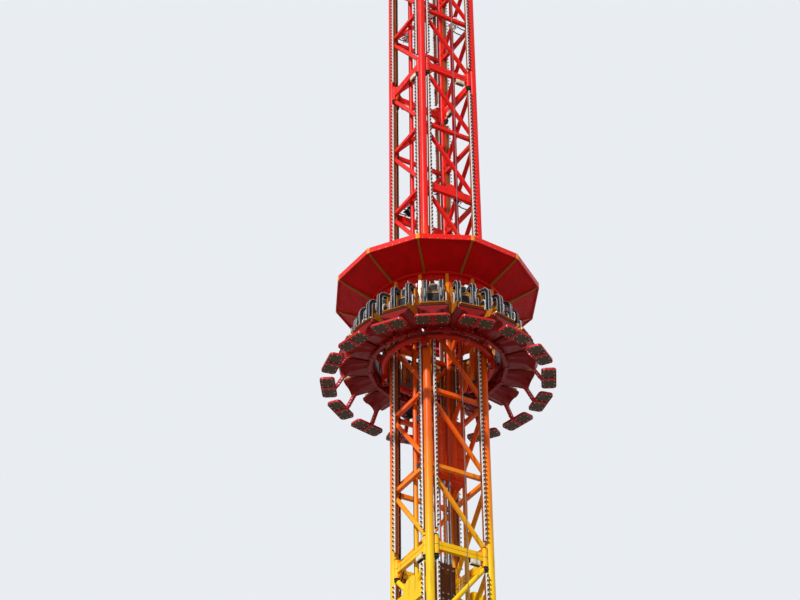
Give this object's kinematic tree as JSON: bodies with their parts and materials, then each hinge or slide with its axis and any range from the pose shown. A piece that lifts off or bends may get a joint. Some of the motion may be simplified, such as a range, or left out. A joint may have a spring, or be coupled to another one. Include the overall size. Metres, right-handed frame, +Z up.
{
  "type": "drop tower ride",
  "caption": "Lattice mast with light strips, a sliding carriage, a turning gondola of single seats with shoulder restraints and foot rests under a polygonal canopy, and a counterweight.",
  "frame": {"origin": "centre of the underside of the base frame, on the mast's axis at ground level", "axes": "+Z up along the mast; -Y is the front face of the mast, the one on the right in the picture; +X is to the right of that face"},
  "size_m": [4.7, 4.7, 38.628],
  "materials": {
    "base_steel": "satin",
    "mast_paint": "gloss",
    "rail_steel": "satin",
    "light_channel": "satin",
    "lamp_shade": "matte",
    "rope_steel": "satin",
    "sheave_steel": "satin",
    "motor_blue": "satin",
    "weight_orange": "satin",
    "weight_red": "satin",
    "block_brown": "satin",
    "carriage_red": "gloss",
    "frame_orange": "gloss",
    "roller_black": "matte",
    "race_steel": "satin",
    "gondola_red": "gloss",
    "arm_red": "gloss",
    "foot_rest_red": "gloss",
    "seat_shell": "gloss",
    "rib_orange": "gloss",
    "canopy_inside": "satin",
    "canopy_red": "gloss",
    "cap_orange": "gloss",
    "skirt_red": "gloss",
    "restraint_black": "matte"
  },
  "bodies": {
    "tower": {"base_frame": "base_steel", "legs": "mast_paint", "front_lattice": "mast_paint", "right_lattice": "mast_paint", "back_lattice": "mast_paint", "left_lattice": "mast_paint", "guide_rails": "rail_steel", "light_strips": "light_channel", "lamp_boxes": "lamp_shade", "hoist_ropes": "rope_steel", "head_frame": "carriage_red", "head_sheaves": "sheave_steel", "base_stands": "base_steel", "base_sheaves": "sheave_steel", "drive_motors": "motor_blue", "counterweight_rails": "mast_paint"},
    "carriage": {"carriage_ring": "carriage_red", "upper_ring": "carriage_red", "carriage_posts": "frame_orange", "guide_rollers": "roller_black", "slew_ring_inner": "race_steel"},
    "gondola": {"slew_ring_outer": "gondola_red", "tie_bars": "gondola_red", "seat_arms": "arm_red", "foot_rests": "foot_rest_red", "gondola_posts": "frame_orange", "seat_pans": "seat_shell", "seat_backs": "seat_shell", "seat_sides": "seat_shell", "canopy_hub": "skirt_red", "canopy_ribs": "rib_orange", "canopy_soffit": "canopy_inside", "canopy_roof": "canopy_red", "canopy_rim": "canopy_red", "canopy_caps": "cap_orange", "inner_skirt": "skirt_red"},
    "counterweight": {"counterweight_frame": "weight_orange", "counterweight_blocks": "weight_red", "counterweight_shoes": "sheave_steel", "hoist_block": "block_brown"},
    "restraint_01": {"restraint_01": "restraint_black"},
    "restraint_02": {"restraint_02": "restraint_black"},
    "restraint_03": {"restraint_03": "restraint_black"},
    "restraint_04": {"restraint_04": "restraint_black"},
    "restraint_05": {"restraint_05": "restraint_black"},
    "restraint_06": {"restraint_06": "restraint_black"},
    "restraint_07": {"restraint_07": "restraint_black"},
    "restraint_08": {"restraint_08": "restraint_black"},
    "restraint_09": {"restraint_09": "restraint_black"},
    "restraint_10": {"restraint_10": "restraint_black"},
    "restraint_11": {"restraint_11": "restraint_black"},
    "restraint_12": {"restraint_12": "restraint_black"},
    "restraint_13": {"restraint_13": "restraint_black"},
    "restraint_14": {"restraint_14": "restraint_black"},
    "restraint_15": {"restraint_15": "restraint_black"},
    "restraint_16": {"restraint_16": "restraint_black"}
  },
  "joints": [
    {"name": "carriage_slide", "type": "slide", "parent": "tower", "child": "carriage", "axis": [0, 0, 1], "range_m": [-22.45, 10.5]},
    {"name": "gondola_turn", "type": "hinge", "parent": "carriage", "child": "gondola", "pos_m": [0, 0, 23.7], "axis": [0, 0, 1], "continuous": true},
    {"name": "counterweight_slide", "type": "slide", "parent": "tower", "child": "counterweight", "axis": [0, 0, 1], "range_m": [-5.25, 11.225]},
    {"name": "restraint_hinge_01", "type": "hinge", "parent": "gondola", "child": "restraint_01", "pos_m": [1.27502, 0.25362, 24.43], "axis": [0.1951, -0.9808, 0], "range_deg": [0, 65]},
    {"name": "restraint_hinge_02", "type": "hinge", "parent": "gondola", "child": "restraint_02", "pos_m": [1.08091, 0.72224, 24.43], "axis": [0.5556, -0.8315, 0], "range_deg": [0, 65]},
    {"name": "restraint_hinge_03", "type": "hinge", "parent": "gondola", "child": "restraint_03", "pos_m": [0.72224, 1.08091, 24.43], "axis": [0.8315, -0.5556, 0], "range_deg": [0, 65]},
    {"name": "restraint_hinge_04", "type": "hinge", "parent": "gondola", "child": "restraint_04", "pos_m": [0.25362, 1.27502, 24.43], "axis": [0.9808, -0.1951, 0], "range_deg": [0, 65]},
    {"name": "restraint_hinge_05", "type": "hinge", "parent": "gondola", "child": "restraint_05", "pos_m": [-0.25362, 1.27502, 24.43], "axis": [0.9808, 0.1951, 0], "range_deg": [0, 65]},
    {"name": "restraint_hinge_06", "type": "hinge", "parent": "gondola", "child": "restraint_06", "pos_m": [-0.72224, 1.08091, 24.43], "axis": [0.8315, 0.5556, 0], "range_deg": [0, 65]},
    {"name": "restraint_hinge_07", "type": "hinge", "parent": "gondola", "child": "restraint_07", "pos_m": [-1.08091, 0.72224, 24.43], "axis": [0.5556, 0.8315, 0], "range_deg": [0, 65]},
    {"name": "restraint_hinge_08", "type": "hinge", "parent": "gondola", "child": "restraint_08", "pos_m": [-1.27502, 0.25362, 24.43], "axis": [0.1951, 0.9808, 0], "range_deg": [0, 65]},
    {"name": "restraint_hinge_09", "type": "hinge", "parent": "gondola", "child": "restraint_09", "pos_m": [-1.27502, -0.25362, 24.43], "axis": [-0.1951, 0.9808, 0], "range_deg": [0, 65]},
    {"name": "restraint_hinge_10", "type": "hinge", "parent": "gondola", "child": "restraint_10", "pos_m": [-1.08091, -0.72224, 24.43], "axis": [-0.5556, 0.8315, 0], "range_deg": [0, 65]},
    {"name": "restraint_hinge_11", "type": "hinge", "parent": "gondola", "child": "restraint_11", "pos_m": [-0.72224, -1.08091, 24.43], "axis": [-0.8315, 0.5556, 0], "range_deg": [0, 65]},
    {"name": "restraint_hinge_12", "type": "hinge", "parent": "gondola", "child": "restraint_12", "pos_m": [-0.25362, -1.27502, 24.43], "axis": [-0.9808, 0.1951, 0], "range_deg": [0, 65]},
    {"name": "restraint_hinge_13", "type": "hinge", "parent": "gondola", "child": "restraint_13", "pos_m": [0.25362, -1.27502, 24.43], "axis": [-0.9808, -0.1951, 0], "range_deg": [0, 65]},
    {"name": "restraint_hinge_14", "type": "hinge", "parent": "gondola", "child": "restraint_14", "pos_m": [0.72224, -1.08091, 24.43], "axis": [-0.8315, -0.5556, 0], "range_deg": [0, 65]},
    {"name": "restraint_hinge_15", "type": "hinge", "parent": "gondola", "child": "restraint_15", "pos_m": [1.08091, -0.72224, 24.43], "axis": [-0.5556, -0.8315, 0], "range_deg": [0, 65]},
    {"name": "restraint_hinge_16", "type": "hinge", "parent": "gondola", "child": "restraint_16", "pos_m": [1.27502, -0.25362, 24.43], "axis": [-0.1951, -0.9808, 0], "range_deg": [0, 65]}
  ],
  "couplings": [
    {"joint": "counterweight_slide", "follows": "carriage_slide", "ratio": -0.5}
  ]
}
